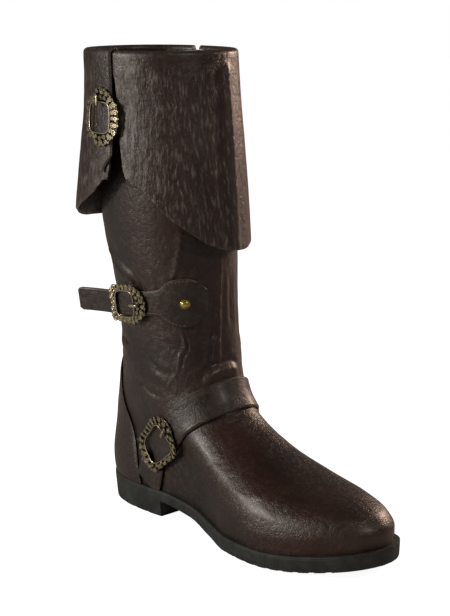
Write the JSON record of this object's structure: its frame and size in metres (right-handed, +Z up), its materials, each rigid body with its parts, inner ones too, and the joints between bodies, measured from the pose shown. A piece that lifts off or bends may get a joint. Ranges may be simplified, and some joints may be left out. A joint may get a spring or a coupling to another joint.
{
  "type": "tall leather cuff boot",
  "caption": "Tall leather boot with a fold-over cuff, buckled straps at cuff, calf and ankle, a snapped calf flap and a low moulded rubber heel and sole.",
  "frame": {"origin": "on the floor, at the middle of the heel's flat tread", "axes": "+Z up, toe to -Y, lateral side with the buckles to -X"},
  "size_m": [0.1366, 0.3284, 0.3997],
  "materials": {
    "sole_rubber": "matt moulded rubber, near black",
    "footbed": "plain leather footbed",
    "boot_leather": "pull-up leather, dark brown, creased, semi-gloss",
    "cuff_leather": "crackled dark brown leather",
    "strap_leather": "dark brown strap leather with burnished edges",
    "antique_brass": "cast antique brass, dark in its recesses",
    "snap_brass": "worn bright brass cap"
  },
  "bodies": {
    "root": {"outsole": "sole_rubber", "insole": "footbed", "upper": "boot_leather", "heel_counter": "boot_leather", "cuff": "cuff_leather", "cuff_strap": "strap_leather", "calf_strap": "strap_leather", "ankle_strap": "strap_leather", "ankle_tab": "strap_leather", "cuff_buckle": "antique_brass", "cuff_prong": "antique_brass", "calf_buckle": "antique_brass", "calf_prong": "antique_brass", "ankle_buckle": "antique_brass", "ankle_prong": "antique_brass", "snap_stud": "snap_brass"}
  },
  "joints": []
}
